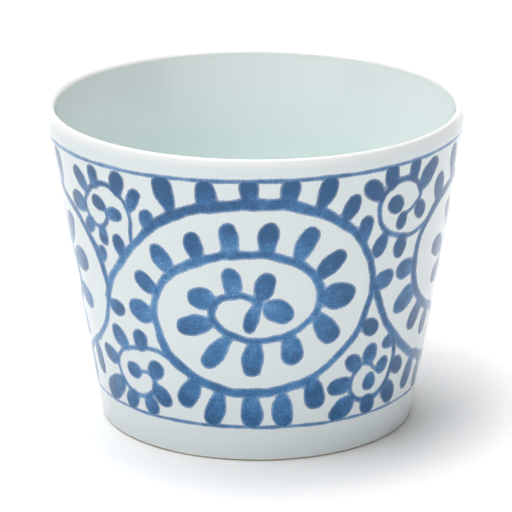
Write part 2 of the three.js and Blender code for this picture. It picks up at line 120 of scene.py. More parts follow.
# The medallion at the front winds inwards clockwise, with leaves on its outer side.
CLOCKWISE_MEDALLION = {
    "vine": [
        [-53, 31.6, 1.2], [-50.8, 34.4, 1.5], [-48.4, 36.8, 1.3], [-43.6, 40.9, 1.4],
        [-37.8, 45.2, 1.4], [-32.2, 48.8, 1.6], [-26.4, 52.1, 1.9], [-19.5, 54.3, 1.9],
        [-11.5, 55.7, 2.1], [-3, 56.3, 2.2], [5.7, 56.4, 2.2], [13, 55.3, 2.0],
        [20, 53.3, 1.9], [27.1, 49.9, 1.6], [32.5, 44.9, 1.3], [35.6, 40.6, 1.2],
        [36.4, 36.6, 1.3], [35.2, 31.4, 1.2], [31.4, 25.9, 1.2], [25, 21.6, 1.2],
        [16.5, 17.8, 1.5], [5.7, 15.9, 1.7], [-5, 15.4, 1.7], [-14.5, 16.5, 1.8],
        [-22.9, 19.1, 1.9], [-29.2, 22.6, 2.0], [-32.2, 27.3, 1.5], [-32.7, 31.8, 1.3],
        [-30.4, 36.8, 1.3], [-24, 41.2, 1.6], [-15.7, 44.1, 1.6], [-6.2, 45.6, 1.5],
        [3.3, 45.5, 1.4], [12.3, 43.3, 1.6], [18, 39.3, 1.5], [19.1, 34.6, 1.4],
        [14.6, 30.3, 1.2], [6.9, 27.6, 1.1], [-1.4, 27.1, 1.1], [-9.2, 28.5, 1.2],
        [-13.8, 32.2, 1.3], [-11, 35.9, 1.1], [-5, 36.8, 1.1], [0.1, 35.6, 1.2],
    ],
    "leaves": [
        # outer side of the outer turn, from the left over the top
        [-43, 42.2, -44.3, 46.1, 3.1, 0.8], [-31.6, 49.2, -33, 53.2, 3.1, 0.8],
        [-24.3, 53.9, -27.3, 61, 4.0, 0.8], [-13.6, 54.9, -14.4, 61, 4.1, 0.9],
        [-1.7, 56, -2.3, 62, 3.4, 1], [8.7, 56, 9, 62, 3.5, 1],
        [17.6, 55.2, 20.6, 61.6, 3.6, 0.75], [25.2, 51.8, 28, 57, 3.2, 0.75],
        [31.4, 47, 32.6, 51.8, 3.0, 0.9], [34.7, 28.8, 40.4, 25.9, 3.5, 0.7],
        [17.9, 18, 20.1, 11.2, 4.1, 0.75], [8.1, 14.9, 9, 7, 4.0, 0.7],
        [-1.7, 14.9, -1.9, 7, 4.2, 0.7], [-12.1, 15.3, -15.8, 7.4, 3.6, 0.7],
        [-20.2, 17.4, -25.5, 11.4, 3.9, 0.75],
        # outer side of the second turn
        [-51.9, 30.3, -45.2, 29.6, 3.2, 0.8], [-33.4, 30.5, -42.6, 31.1, 4.6, 0.6],
        [-31.6, 36, -38.6, 38.8, 3.6, 0.7], [-26.1, 40.9, -31.2, 45.9, 3.8, 0.7],
        [-16.9, 44, -19.2, 49.6, 3.5, 0.9], [-7.7, 45.3, -8.1, 52.2, 3.6, 1],
        [2.7, 45.6, 3.6, 52.4, 3.8, 0.95], [11.7, 44, 15.8, 51, 3.8, 0.75],
        [17.6, 40.4, 25.6, 45, 4.0, 0.7], [19.4, 35.7, 30.1, 35.8, 5.4, 0.5],
        [18, 31.9, 24.8, 26, 4.2, 0.7],
        # outer side of the inner turn, and the leaf that the vine ends in
        [-12.9, 35.4, -20.8, 36.1, 4.6, 0.6], [-14, 30.7, -24.8, 28.8, 4.3, 0.6],
        [-8.3, 27.9, -16.8, 21, 3.7, 0.6], [-0.8, 27, -1.8, 19.2, 4.0, 0.7],
        [10, 28.1, 11.5, 21.6, 4.2, 0.7], [-6.8, 36.8, -7.8, 42.6, 3.8, 0.8],
        [0.4, 35.8, 4, 41.5, 3.7, 0.5], [0.6, 35.6, -3, 29, 2.5, 0.8],
    ],
    "drop": [2.2, 34.4, 10.7, 32.4, 4.8, 0.4],
}
# The next medallion winds inwards the other way, starting along the bottom.
ANTICLOCKWISE_MEDALLION = {
    "vine": [
        [-53.6, 38.2, 1.2], [-51.7, 34.8, 1.3], [-49, 31.2, 1.3], [-43.9, 25.9, 1.5],
        [-37.2, 21.6, 1.6], [-30.6, 18.5, 1.5], [-22.2, 16, 1.8], [-12, 13.9, 2.0],
        [-3, 13, 2.1], [5.7, 13.5, 2.0], [13, 15.6, 1.6], [20.6, 18.5, 1.1],
        [28.3, 21.7, 1.0], [34.4, 26.2, 1.0], [37.2, 30.2, 1.1], [38.1, 34.5, 1.5],
        [36.1, 39.8, 1.6], [31.1, 44.5, 1.5], [23.9, 48.3, 1.6], [15, 50.6, 1.7],
        [5, 52.6, 1.7], [-5, 53.4, 1.8], [-15, 52.8, 1.8], [-23.9, 51.1, 1.9],
        [-31.2, 47.7, 1.8], [-35.2, 43.4, 1.4], [-35.8, 38.6, 1.5], [-33.4, 33.6, 1.6],
        [-28.3, 29.4, 1.6], [-19.4, 26.2, 1.6], [-9, 23.9, 1.6], [3.3, 23.4, 1.4],
        [12, 25.6, 1.5], [16.6, 29.7, 1.4], [17, 34.3, 1.4], [13.6, 38.6, 1.2],
        [6.9, 41.3, 1.1], [-1.4, 41.8, 1.1], [-9.2, 40.4, 1.2], [-13.8, 36.7, 1.3],
        [-11, 33, 1.1], [-5, 32.1, 1.1], [0.1, 33.3, 1.2],
    ],
    "leaves": [
        # outer side of the outer turn, from the left along the bottom
        [-25.6, 16.6, -29.5, 9.9, 3.8, 0.75], [-16.2, 14.6, -17.6, 7, 4.0, 0.8],
        [-5.2, 12.9, -6, 7, 3.8, 0.9], [5.4, 13.3, 5.4, 7, 3.6, 0.9],
        [14.2, 16, 12.6, 8.4, 3.7, 0.75], [22.8, 19, 24.3, 12.4, 3.5, 0.7],
        [36.4, 39.4, 39, 42.5, 2.6, 0.9], [15.8, 51, 18.4, 59.8, 3.7, 0.75],
        [5, 53, 6.2, 60.8, 4.0, 0.7], [-5.4, 53.8, -6.2, 62, 4.1, 0.7],
        [-16.2, 53.2, -19.8, 60.6, 3.7, 0.7], [-26.3, 50.5, -28.6, 56.3, 3.9, 0.8],
        # outer side of the second turn
        [-52.4, 36.7, -45.6, 37.8, 4.0, 0.6], [-36.4, 38.2, -44, 38.2, 4.1, 0.7],
        [-33.7, 33.2, -42.4, 29.3, 4.7, 0.6], [-27.5, 29.1, -32.4, 23.4, 4.0, 0.7],
        [-20, 26.2, -21.5, 20.3, 3.7, 0.85], [-8.7, 24, -9.3, 16.9, 3.6, 1],
        [2.7, 23.3, 3.4, 16.4, 3.8, 0.95], [11.2, 25.2, 14.8, 19, 3.8, 0.75],
        [16.7, 30.7, 26, 27.5, 4.2, 0.6], [16.8, 36.2, 27.6, 37.6, 4.8, 0.55],
        [13.6, 39, 20.2, 46, 4.3, 0.6],
        # outer side of the inner turn, and the leaf that the vine ends in
        [-12.9, 33.5, -20.8, 32.8, 4.6, 0.6], [-14, 38.2, -24.8, 40.1, 4.3, 0.6],
        [-8.3, 41, -16.8, 47.9, 3.7, 0.6], [-0.8, 41.9, -1.8, 49.7, 4.0, 0.7],
        [9.2, 41, 10.5, 47.3, 4.2, 0.7], [-6.8, 32.1, -7.8, 26.3, 3.8, 0.8],
        [0.4, 33.1, 4, 27.4, 3.7, 0.5], [0.6, 33.3, -3, 39.9, 2.5, 0.8],
    ],
    "drop": [2.2, 34.5, 10.7, 36.5, 4.8, 0.4],
}
# The small scrolls in the corners left of a clockwise medallion.
RISING_SCROLL = {
    "vine": [
        [-38.6, 45.5, 1.0], [-38.3, 50.2, 0.9], [-40.3, 54.5, 0.9], [-46.1, 56.6, 1.2],
        [-52.8, 55.2, 1.1], [-56.9, 51, 0.9], [-55.3, 47.8, 0.9], [-50.8, 46.8, 0.9],
        [-47.1, 49, 0.9], [-47.6, 51.1, 0.8],
    ],
    "leaves": [
        [-38.2, 52.2, -34.6, 57, 2.9, 0.6], [-42, 55.2, -40.7, 60.1, 3.5, 0.7],
        [-51.1, 55.6, -50.6, 60, 3.0, 0.9], [-55.2, 53.7, -60.2, 58.1, 3.5, 0.6],
        [-57, 50.6, -65.4, 50.5, 4.2, 0.6], [-54.7, 47.9, -58.4, 45.1, 3.1, 0.8],
        [-50.3, 46.9, -50.3, 43.2, 2.8, 0.8], [-47, 50.4, -41.3, 51, 2.9, 0.4],
        [-47.8, 51, -53, 53, 3.1, 0.4],
    ],
}
CREEPING_SCROLL = {
    "vine": [
        [-27.5, 21.4, 1.2], [-33.3, 22.5, 1.0], [-41.7, 22.2, 0.9], [-49.2, 20.4, 0.9],
        [-52.6, 16.9, 0.9], [-50.6, 13.3, 0.9], [-43.5, 11.2, 1.0], [-37.4, 12.8, 1.0],
        [-35.8, 15.3, 1.0], [-37.8, 16.9, 0.8], [-43, 16.7, 0.8],
    ],
    "leaves": [
        [-39.9, 22.2, -39.7, 26.4, 3.6, 0.9], [-46.7, 21.2, -52.4, 25.5, 3.9, 0.6],
        [-52.2, 17.8, -60.5, 18.9, 3.7, 0.5], [-51, 13.7, -62.4, 8.5, 4.7, 0.45],
        [-46.2, 11.9, -49.4, 6.8, 3.4, 0.7], [-39.4, 11.8, -38.1, 7, 3.4, 0.7],
        [-35.9, 14.6, -30.8, 10.5, 3.7, 0.5], [-36.9, 16.4, -33.2, 19.9, 3.5, 0.6],
        [-42.5, 16.7, -47.7, 17.1, 3.5, 0.4],
    ],
}
# Those left of an anticlockwise one.
CLIMBING_SCROLL = {
    "vine": [
        [-32.8, 46.9, 1.1], [-37.8, 45.7, 1.0], [-44.4, 45.9, 1.0], [-50.7, 47.7, 1.1],
        [-53.9, 51.8, 1.1], [-52.4, 56.2, 1.2], [-47.2, 58.3, 1.3], [-41.6, 57.3, 1.2],
        [-38.2, 53.9, 1.0], [-40.6, 51.7, 0.8], [-44.8, 50, 0.8],
    ],
    "leaves": [
        [-50.8, 57.1, -50.7, 62, 3.6, 0.9], [-41.9, 57.4, -41.7, 62, 3.0, 1],
        [-38.7, 54.9, -31.6, 60.2, 4.3, 0.5], [-53.4, 54.9, -59.3, 59.3, 3.5, 0.6],
        [-51.1, 47.4, -53.4, 42.6, 3.3, 0.7], [-44.2, 45.9, -44.2, 41.3, 3.3, 0.8],
        [-38.8, 52.4, -35.5, 48.5, 3.1, 0.6], [-44.2, 50.6, -45.9, 47.5, 2.8, 0.7],
    ],
    "drop": [-46.2, 51.8, -50.5, 54.5, 3.6, 0.4],
}
DROOPING_SCROLL = {
    "vine": [
        [-41.4, 24.1, 1.2], [-39.4, 19.4, 1.1], [-40.8, 15, 1.2], [-45, 11.7, 1.3],
        [-51, 11, 1.2], [-56.3, 12.8, 0.9], [-57.6, 16, 0.8], [-55, 19, 0.8],
        [-51.3, 19.5, 0.7], [-48.6, 17.8, 0.7], [-46.1, 16.4, 0.7],
    ],
    "leaves": [
        [-41.4, 22.9, -46, 22.5, 3.1, 0.7], [-51, 19.3, -50.6, 23.5, 3.5, 0.8],
        [-55.2, 18.5, -59.9, 21.5, 3.5, 0.6], [-57.6, 15.3, -66, 15.3, 3.9, 0.6],
        [-56, 12.4, -64.1, 8.1, 4.1, 0.6], [-49.2, 11.3, -49.2, 6.8, 3.8, 0.8],
        [-42.2, 13.6, -36.7, 8.6, 3.7, 0.5], [-46.3, 16.4, -43, 19.4, 2.9, 0.5],
        [-39.6, 18.1, -33.7, 14.8, 3.5, 0.5],
    ],
    "drop": [-49.2, 16.6, -50.8, 13.1, 3.1, 0.7],
}


# ---------------------------------------------------------------- the cup's shape


def wall_radius(height):
    """Outside radius of the glazed wall."""
    rise = height / HEIGHT
    return BASE_RADIUS + (RIM_RADIUS - BASE_RADIUS) * rise + WALL_BULGE * 4 * rise * (1 - rise)


def lip_turn(height, depth):
    """How far the outside has curved in from the wall's line at a height, up to depth at the lip's top."""
    rise = np.clip(1 - (HEIGHT - height) / LIP_OUTER_DROP, 0, 1)
    return depth * (1 - np.sqrt(1 - rise * rise))


def wall_waver(angle, height):
    """The slight unevenness of a hand-turned wall, and the push that the rim took."""
    rise = np.clip((height - PUSH_START) / (PUSH_END - PUSH_START), 0, 1)
    push = LIP_PUSH * rise * rise * (3 - 2 * rise) * np.maximum(-np.sin(angle), 0) ** 1.5
    return push + 0.04 * np.sin(2 * angle + 0.4) + 0.02 * np.sin(3 * angle + height / 9)


def arc(centre, radii, start, end, steps):
    """Points of an ellipse's arc, between two angles in degrees."""
    angles = np.linspace(start, end, steps + 1) * DEGREES
    return np.column_stack([centre[0] + radii[0] * np.cos(angles), centre[1] + radii[1] * np.sin(angles)])


def skin(inset, start_height):
    """The cup's surface up the outside, over the lip and down the inside, moved into the clay by inset.

    Each row is a radius, a height and a share that sets the glaze's colour there, from 0 on the outside to 1
    on
    the inside floor: painted light makes the inside lighter than the outside, and towards the floor the
    glaze turns darker and aqua, its own tint where it pools with painted shade."""
    shoulder = HEIGHT - LIP_OUTER_DROP
    half = LIP_THICKNESS / 2 - inset
    rises = np.linspace(start_height, shoulder, int((shoulder - start_height) / WALL_STEP) + 2)[:-1]
    outside = np.column_stack([wall_radius(rises) - inset, rises])
    rounding = shoulder + LIP_OUTER_DROP * np.sin(np.linspace(0, math.pi / 2, LIP_POINTS))
    outer_lip = np.column_stack([wall_radius(rounding) - inset - lip_turn(rounding, half), rounding])
    outer_lip[:, 1] -= inset * np.linspace(0, 1, LIP_POINTS)
    lip_middle = wall_radius(HEIGHT) - LIP_THICKNESS / 2
    inner_top = HEIGHT - LIP_INNER_DROP
    inner_lip = arc([lip_middle, inner_top], [half, LIP_INNER_DROP - inset], 90, 180, 8)[1:]
    corner_height = FLOOR_HEIGHT + FLOOR_CORNER
    corner_radius = FLOOR_CORNER + inset
    corner_centre = wall_radius(corner_height) - WALL_BOTTOM_THICKNESS - FLOOR_CORNER
    corner = arc([corner_centre, corner_height], [corner_radius, corner_radius], 0, -90, 16)
    inner_wall = np.linspace(inner_lip[-1], corner[0], INNER_WALL_POINTS)[1:-1]
    inner_wall[:, 0] -= INNER_SWELL * np.sin(np.linspace(0, math.pi, INNER_WALL_POINTS))[1:-1]
    floor = np.linspace(corner[-1], [0, FLOOR_HEIGHT - inset], 10)[1:]
    inside = np.vstack([inner_wall, corner, floor])
    rows = np.vstack([outside, outer_lip, inner_lip, inside])
    pool_and_painted_light = np.zeros(len(rows))
    depth = (HEIGHT - inside[:, 1]) / HEIGHT
    # painted light and shade: the top of the inside takes the lighter inside colour, and towards the floor
    # the darker aqua pooled one
    pool_and_painted_light[-len(inside):] = np.clip(WALL_POOL_AND_LIGHT + POOL_AND_SHADE_GROWTH * depth, 0, 1)
    pool_and_painted_light[-len(inside) - len(inner_lip):-len(inside)] = np.linspace(LIP_POOL_AND_LIGHT, WALL_POOL_AND_LIGHT, len(inner_lip))
    return np.column_stack([rows, pool_and_painted_light])


# ---------------------------------------------------------------- meshes


def make_object(name, points, faces, values, material):
    """A smooth mesh object. points are in mm, and values are its float attributes by name."""
    mesh = bpy.data.meshes.new(name)
    mesh.from_pydata((np.asarray(points) * METRES).tolist(), [], faces)
    for attribute, numbers in values.items():
        layer = mesh.attributes.new(attribute, "FLOAT", "POINT")
        layer.data.foreach_set("value", np.asarray(numbers, np.float32))
    mesh.shade_smooth()
    mesh.materials.append(material)
    piece = bpy.data.objects.new(name, mesh)
    bpy.context.scene.collection.objects.link(piece)
    return piece


def turned(name, rows, material):
    """A profile of [radius, height, glaze pool and painted light] rows from the axis and back to it, turned
    about +Z.
    """
    angles = np.arange(LATHE_SEGMENTS) / LATHE_SEGMENTS * 2 * math.pi
    points = []
    pool_and_painted_light = []
    rings = []
    for radius, height, pool_and_light in rows:
        on_axis = radius < 1e-6
        turns = angles[:1] if on_axis else angles
        rings.append(range(len(points), len(points) + len(turns)))
        reach = radius + (0 if on_axis else 1) * wall_waver(turns, height)
        ring = [reach * np.sin(turns), -reach * np.cos(turns), turns * 0 + height]
        points += np.column_stack(ring).tolist()
        pool_and_painted_light += [pool_and_light] * len(turns)
    faces = []
    for lower, upper in zip(rings, rings[1:]):
        for i in range(LATHE_SEGMENTS):
            corners = [lower[i % len(lower)], lower[(i + 1) % len(lower)]]
            corners += [upper[(i + 1) % len(upper)], upper[i % len(upper)]]
            faces.append(tuple(dict.fromkeys(corners)))
    return make_object(name, points, faces, {"pool_and_painted_light": pool_and_painted_light}, material)


# ---------------------------------------------------------------- brush strokes


def mm_per_degree(height):
    """Length on the wall of one degree round the cup."""
    return wall_radius(height) * DEGREES


def smooth_line(points, spacing):
    """Close points along the centripetal Catmull-Rom curve through [degrees, height, width] points."""
    line = np.array(points, float)
    line[:, 0] *= mm_per_degree(line[:, 1])
    padded = np.vstack([2 * line[0] - line[1], line, 2 * line[-1] - line[-2]])
    found = []
    for p0, p1, p2, p3 in zip(padded, padded[1:], padded[2:], padded[3:]):
        t1 = math.dist(p0, p1) ** 0.5
        t2 = t1 + math.dist(p1, p2) ** 0.5
        t3 = t2 + math.dist(p2, p3) ** 0.5
        steps = max(2, int(math.dist(p1, p2) / spacing))
        for t in np.linspace(t1, t2, steps, endpoint=False):
            a1 = (t1 - t) / t1 * p0 + t / t1 * p1
            a2 = (t2 - t) / (t2 - t1) * p1 + (t - t1) / (t2 - t1) * p2
            a3 = (t3 - t) / (t3 - t2) * p2 + (t - t2) / (t3 - t2) * p3
            b1 = (t2 - t) / t2 * a1 + t / t2 * a2
            b2 = (t3 - t) / (t3 - t1) * a2 + (t - t1) / (t3 - t1) * a3
            found.append((t2 - t) / (t2 - t1) * b1 + (t - t1) / (t2 - t1) * b2)
    found.append(line[-1])
    found = np.array(found)
    found[:, 0] /= mm_per_degree(found[:, 1])
    return found


def vine_path(vine, spread):
    """A vine as close circles, each [degrees, height, radius]."""
    path = smooth_line(vine, PATH_STEP)
    path[:, 2] = path[:, 2] / 2 + spread
    return path


def leaf_path(leaf, spread):
    """A drop-shaped leaf as close circles: a narrow root, a full belly and a slightly smaller tip."""
    root_degrees, root_height, tip_degrees, tip_height, width, root_share = leaf
    tip_height = max(tip_height, LOWER_LINE["height"])
    belly = width / 2 + spread
    root = belly * root_share * ROOT_SLENDER
    tip = belly * TIP_SLENDER
    scale = mm_per_degree((root_height + tip_height) / 2)
    length = math.hypot((tip_degrees - root_degrees) * scale, tip_height - root_height)
    share = np.linspace(0, 1, LEAF_CIRCLES)
    swell = np.sin(np.clip(share / BELLY_PLACE, 0, 1) * math.pi / 2)
    narrowing = np.clip((share - BELLY_PLACE) / (1 - BELLY_PLACE), 0, 1) ** 2
    radii = root + (belly - root) * swell - (belly - tip) * narrowing
    reach = (root * 0.5 + share * (length - tip + spread - root * 0.5)) / length
    degrees = root_degrees + (tip_degrees - root_degrees) * reach
    heights = root_height + (tip_height - root_height) * reach
    return np.column_stack([degrees, heights, radii])


def path_depth(degrees, heights, path):
    """How deep each point lies inside a path of circles, in mm, and its share of the way along."""
    depth = np.full(degrees.shape, -1e3)
    share = np.zeros(degrees.shape)
    scale = mm_per_degree(heights)
    for i, (centre, height, radius) in enumerate(path):
        here = radius - np.hypot((degrees - centre) * scale, heights - height)
        deeper = here > depth
        depth[deeper] = here[deeper]
        share[deeper] = i / len(path)
    return depth, share


def hand_waver(degrees, heights, seed):
    """Moves points a little, smoothly, so that strokes have the waver of a hand-held brush."""
    scale = mm_per_degree(HEIGHT / 2)
    x, y = degrees * scale, heights
    p = seed * 1.7
    along = 0.12 * np.sin(0.7 * y + 0.3 * x + p) + 0.05 * np.sin(1.5 * y - 0.8 * x + 2 * p)
    up = 0.12 * np.sin(0.8 * x - 0.3 * y + p) + 0.05 * np.sin(1.7 * x + 0.6 * y + 3 * p)
    return degrees + along / scale, heights + up


def line_height(line, degrees):
    """Height of a ring line's middle, which is a little off level."""
    return line["height"] + line["tilt"] * np.sin(degrees * DEGREES)


def strokes_field(degrees, heights, vine, leaves, seed, turn, spread):
    """Depth inside the joined strokes, and how much pigment the brush left, at each point."""
    above = line_height(UPPER_LINE, degrees + turn) - heights
    below = heights - line_height(LOWER_LINE, degrees + turn)
    degrees, heights = hand_waver(degrees, heights, seed)
    tones = np.random.default_rng(seed).uniform(*BRUSH_TONES, len(leaves) + 1)
    layers = []
    if vine:
        depth, share = path_depth(degrees, heights, vine_path(vine, spread[0]))
        layers.append((depth, tones[-1] * 0.5 + 0.22 + 0.14 * np.sin(share * 31 + seed)))
    for leaf, tone in zip(leaves, tones):
        depth, share = path_depth(degrees, heights, leaf_path(leaf, spread[1]))
        layers.append((depth, tone - ROOT_PALER + TIP_DARKER * share))
    depths = np.array([depth for depth, _ in layers])
    loads = np.array([load for _, load in layers])
    weights = np.exp(np.maximum(depths, -3) / WET_JOIN)
    load = (weights * loads).sum(0) / weights.sum(0)
    overlap = np.clip(np.sort(depths, 0)[-2], 0, 0.5) if len(depths) > 1 else 0
    joined = WET_JOIN * np.log(weights.sum(0))
    room = np.minimum(above, below) + LINE_OVERLAP
    load += TOP_LOAD * np.clip((heights - TOP_LOAD_START) / TOP_LOAD_RISE, 0, 1)
    load += RIGHT_LOAD * np.maximum(np.sin((degrees + turn) * DEGREES), 0)
    return np.minimum(joined, room), load + OVERLAP_DARKER * overlap


def relief(depth):
    """How far a painted piece's surface stands off the wall."""
    rise = np.clip((depth + PAINT_MARGIN) / (2 * PAINT_MARGIN), 0, 1)
    return -PAINT_SINK + (PAINT_SINK + PAINT_RELIEF) * rise * rise * (3 - 2 * rise)


def on_wall(degrees, heights, lift):
    """Points in space, in mm, lifted off the glazed wall."""
    angles = degrees * DEGREES
    reach = wall_radius(heights) + wall_waver(angles, heights) + lift
    reach -= lip_turn(heights, LIP_THICKNESS / 2)
    return np.stack([reach * np.sin(angles), -reach * np.cos(angles), heights], -1)


def patch_faces(kept, columns):
    """The cells of a grid that are kept, as quads of its point numbers."""
    row, column = np.nonzero(kept)
    first = row * columns + column
    return np.column_stack([first, first + 1, first + columns + 1, first + columns])


def painted_patch(name, field, low, high, turn, material):
    """A thin skin on the wall, wherever field finds a stroke between two [degrees, height] corners."""
    step = PAINT_STEP / mm_per_degree(HEIGHT / 2)
    columns = np.arange(low[0], high[0] + step, step)
    rows = np.arange(low[1], high[1] + PAINT_STEP, PAINT_STEP)
    degrees, heights = np.meshgrid(columns, rows)
    depth, load = field(degrees, heights)
    inside = depth > -PAINT_MARGIN
    kept = inside[:-1, :-1] | inside[1:, :-1] | inside[:-1, 1:] | inside[1:, 1:]
    faces = patch_faces(kept, len(columns))
    used, numbers = np.unique(faces, return_inverse=True)
    faces = numbers.reshape(-1, 4).tolist()
    depth, load = depth.ravel()[used], load.ravel()[used]
    points = on_wall(degrees.ravel()[used] + turn, heights.ravel()[used], relief(depth))
    return make_object(name, points, faces, {"depth": depth, "load": load}, material)


def extent(vine, leaves):
    """The [degrees, height] corners that hold a group of strokes."""
    places = [point[:2] for point in vine]
    places += [leaf[:2] for leaf in leaves] + [leaf[2:4] for leaf in leaves]
    room = np.array([6, 3])
    return np.min(places, 0) - room, np.max(places, 0) + room


def add_strokes(name, vine, leaves, turn, seed, spread):
    """One painted piece, named after the CAD node that it stands for."""
    low, high = extent(vine, leaves)

    def field(degrees, heights):
        return strokes_field(degrees, heights, vine, leaves, seed, turn, spread)

    piece = painted_patch(name + "_brushwork", field, low, high, turn, cobalt)
    place(piece, "cobalt_underglaze", name)


def add_ring(name, line, seed):
    """A ring line drawn on the wheel, a little off level, with a brush that swells and thins."""
    angles = np.arange(RING_STEPS) / RING_STEPS * 2 * math.pi
    offsets = np.linspace(-1, 1, RING_ROWS) * (line["width"] / 2 + PAINT_MARGIN)
    angle, offset = np.meshgrid(angles, offsets)
    waver = 0.05 * np.sin(5 * angle + seed) + 0.03 * np.sin(17 * angle + 2 * seed)
    heights = line_height(line, angle / DEGREES) + offset + waver
    swell = 0.06 * np.sin(3 * angle + seed) + 0.05 * np.sin(23 * angle) + 0.03 * np.sin(61 * angle + seed)
    depth = line["width"] / 2 + swell - np.abs(offset)
    load = 0.55 + 0.12 * np.sin(2 * angle + seed) + 0.08 * np.sin(19 * angle)
    points = on_wall(angle / DEGREES, heights, relief(depth)).reshape(-1, 3)
    starts = np.arange(RING_ROWS - 1)[:, None] * RING_STEPS
    first = starts + np.arange(RING_STEPS)
    after = starts + (np.arange(RING_STEPS) + 1) % RING_STEPS
    faces = np.stack([first, after, after + RING_STEPS, first + RING_STEPS], -1).reshape(-1, 4).tolist()
    values = {"depth": depth.ravel(), "load": load.ravel()}
    place(make_object(name + "_brushwork", points, faces, values, cobalt), "cobalt_underglaze", name)


def add_repeat(side, turn, medallion, upper, lower, seed):
    """Every painted piece of one repeat."""
    add_strokes(side + "_medallion", medallion["vine"], medallion["leaves"], turn, seed, MEDALLION_SPREAD)
    add_strokes(side + "_centre_drop", [], [medallion["drop"]], turn, seed + 1, MEDALLION_SPREAD)
    for name, scroll in {"upper": upper, "lower": lower}.items():
        seed += 2
        add_strokes(f"{side}_{name}_scroll", scroll["vine"], scroll["leaves"], turn, seed, SCROLL_SPREAD)
        if "drop" in scroll:
            add_strokes(f"{side}_{name}_drop", [], [scroll["drop"]], turn, seed + 1, SCROLL_SPREAD)


# ---------------------------------------------------------------- materials


def add_node(tree, kind, inputs=None, **settings):
    """A shader node. An input that is a socket is linked, and any other is a plain value."""
    made = tree.nodes.new("ShaderNode" + kind)
    for name, value in settings.items():
        setattr(made, name, value)
    for key, value in (inputs or {}).items():
        if isinstance(value, bpy.types.NodeSocket):
            tree.links.new(value, made.inputs[key])
        else:
            made.inputs[key].default_value = value
    return made


def new_material(name):
    """A material with an empty Principled shader."""
    material = bpy.data.materials.new(name)
    material.use_nodes = True
    tree = material.node_tree
    return material, tree, tree.nodes["Principled BSDF"]


def attribute(tree, name):
    return add_node(tree, "Attribute", attribute_name=name).outputs["Fac"]


def arithmetic(tree, operation, *values):
    made = add_node(tree, "Math", dict(enumerate(values)), operation=operation)
    return made.outputs[0]


def ranged(tree, value, low, high, to_low=0.0, to_high=1.0):
    """value, eased from one range to another."""
    inputs = {"Value": value, "From Min": low, "From Max": high, "To Min": to_low, "To Max": to_high}
    return add_node(tree, "MapRange", inputs, interpolation_type="SMOOTHSTEP").outputs["Result"]


def blended(tree, share, first, second):
    """A mix of two colours."""
    made = add_node(tree, "Mix", {0: share, 6: first, 7: second}, data_type="RGBA")
    return made.outputs[2]


def noise(tree, scale, stretch=(1, 1, 1), detail=2.0):
    """Noise with a scale in cells per metre, in the object's own space."""
    place_on = add_node(tree, "TexCoord").outputs["Object"]
    stretched = add_node(tree, "Mapping", {"Vector": place_on, "Scale": stretch}).outputs[0]
    return add_node(tree, "TexNoise", {"Vector": stretched, "Scale": scale, "Detail": detail}).outputs["Fac"]


OUTSIDE_GLAZE = (0.665, 0.722, 0.733, 1)
# painted highlight: a paler, warmer glaze colour at the lip stands in for its highlight and the glow of
# light through the thin lip
LIP_HIGHLIGHT_GLAZE = (0.87, 0.855, 0.825, 1)
# painted light: the inside wall gets a lighter copy of the outside glaze
PAINTED_LIT_INSIDE_GLAZE = (0.865, 0.91, 0.91, 1)
# the glaze's aqua tint where it pools, darkened as painted shade down in the cup
POOLED_GLAZE_AND_SHADE = (0.70, 0.825, 0.805, 1)
WARM_CLAY = (0.60, 0.50, 0.38, 1)
PALE_CLAY = (0.72, 0.66, 0.56, 1)
IRON_SPECK = (0.22, 0.16, 0.11, 1)
PALE_COBALT = (0.13, 0.29, 0.52, 1)
MID_COBALT = (0.031, 0.165, 0.385, 1)
DEEP_COBALT = (0.001, 0.072, 0.205, 1)


def glaze_colour(tree, pool_and_painted_light=0.0):
    """White porcelain under clear glaze: bluish outside, painted lighter inside as painted light, darker and
    aqua towards the inside floor where the glaze pools with painted shade, and a paler, warmer painted
    highlight at the lip.
    """
    slow = ranged(tree, noise(tree, 38, detail=1.0), 0.3, 0.7, 0.0, 0.08)
    pool_light_and_mottle = arithmetic(tree, "ADD", pool_and_painted_light, slow)
    # painted light: the inside is painted lighter than the outside, then darker and aqua towards the floor,
    # the pooled glaze's tint with painted shade
    wall = blended(tree, ranged(tree, pool_light_and_mottle, 0.1, 0.4), OUTSIDE_GLAZE, PAINTED_LIT_INSIDE_GLAZE)
    wall = blended(tree, ranged(tree, pool_light_and_mottle, 0.4, 1.05), wall, POOLED_GLAZE_AND_SHADE)
    place_on = add_node(tree, "TexCoord").outputs["Object"]
    height = add_node(tree, "SeparateXYZ", {0: place_on}).outputs["Z"]
    # painted highlight: the glaze turns paler and warmer over the top of the lip
    lip_highlight = ranged(tree, height, (HEIGHT - LIP_HIGHLIGHT_REACH) * METRES, (HEIGHT + LIP_HIGHLIGHT_REACH / 3) * METRES)
    return blended(tree, lip_highlight, wall, LIP_HIGHLIGHT_GLAZE)


def glossy(tree, shader):
    """The glass surface of the glaze: a clear coat with a barely rippled face."""
    ripple = noise(tree, 260, detail=1.0)
    bump = add_node(tree, "Bump", {"Height": ripple, "Strength": 0.06, "Distance": 0.0003})
    tree.links.new(bump.outputs[0], shader.inputs["Normal"])
    tree.links.new(bump.outputs[0], shader.inputs["Coat Normal"])
    shader.inputs["Roughness"].default_value = 0.35
    shader.inputs["Specular IOR Level"].default_value = 0.0
    shader.inputs["Coat Weight"].default_value = 1.0
    shader.inputs["Coat Roughness"].default_value = 0.035
    shader.inputs["Coat IOR"].default_value = 1.5


def glaze_material():
    material, tree, shader = new_material("clear_glaze_on_porcelain")
    colour = glaze_colour(tree, attribute(tree, "pool_and_painted_light"))
    tree.links.new(colour, shader.inputs["Base Color"])
    glossy(tree, shader)
    return material


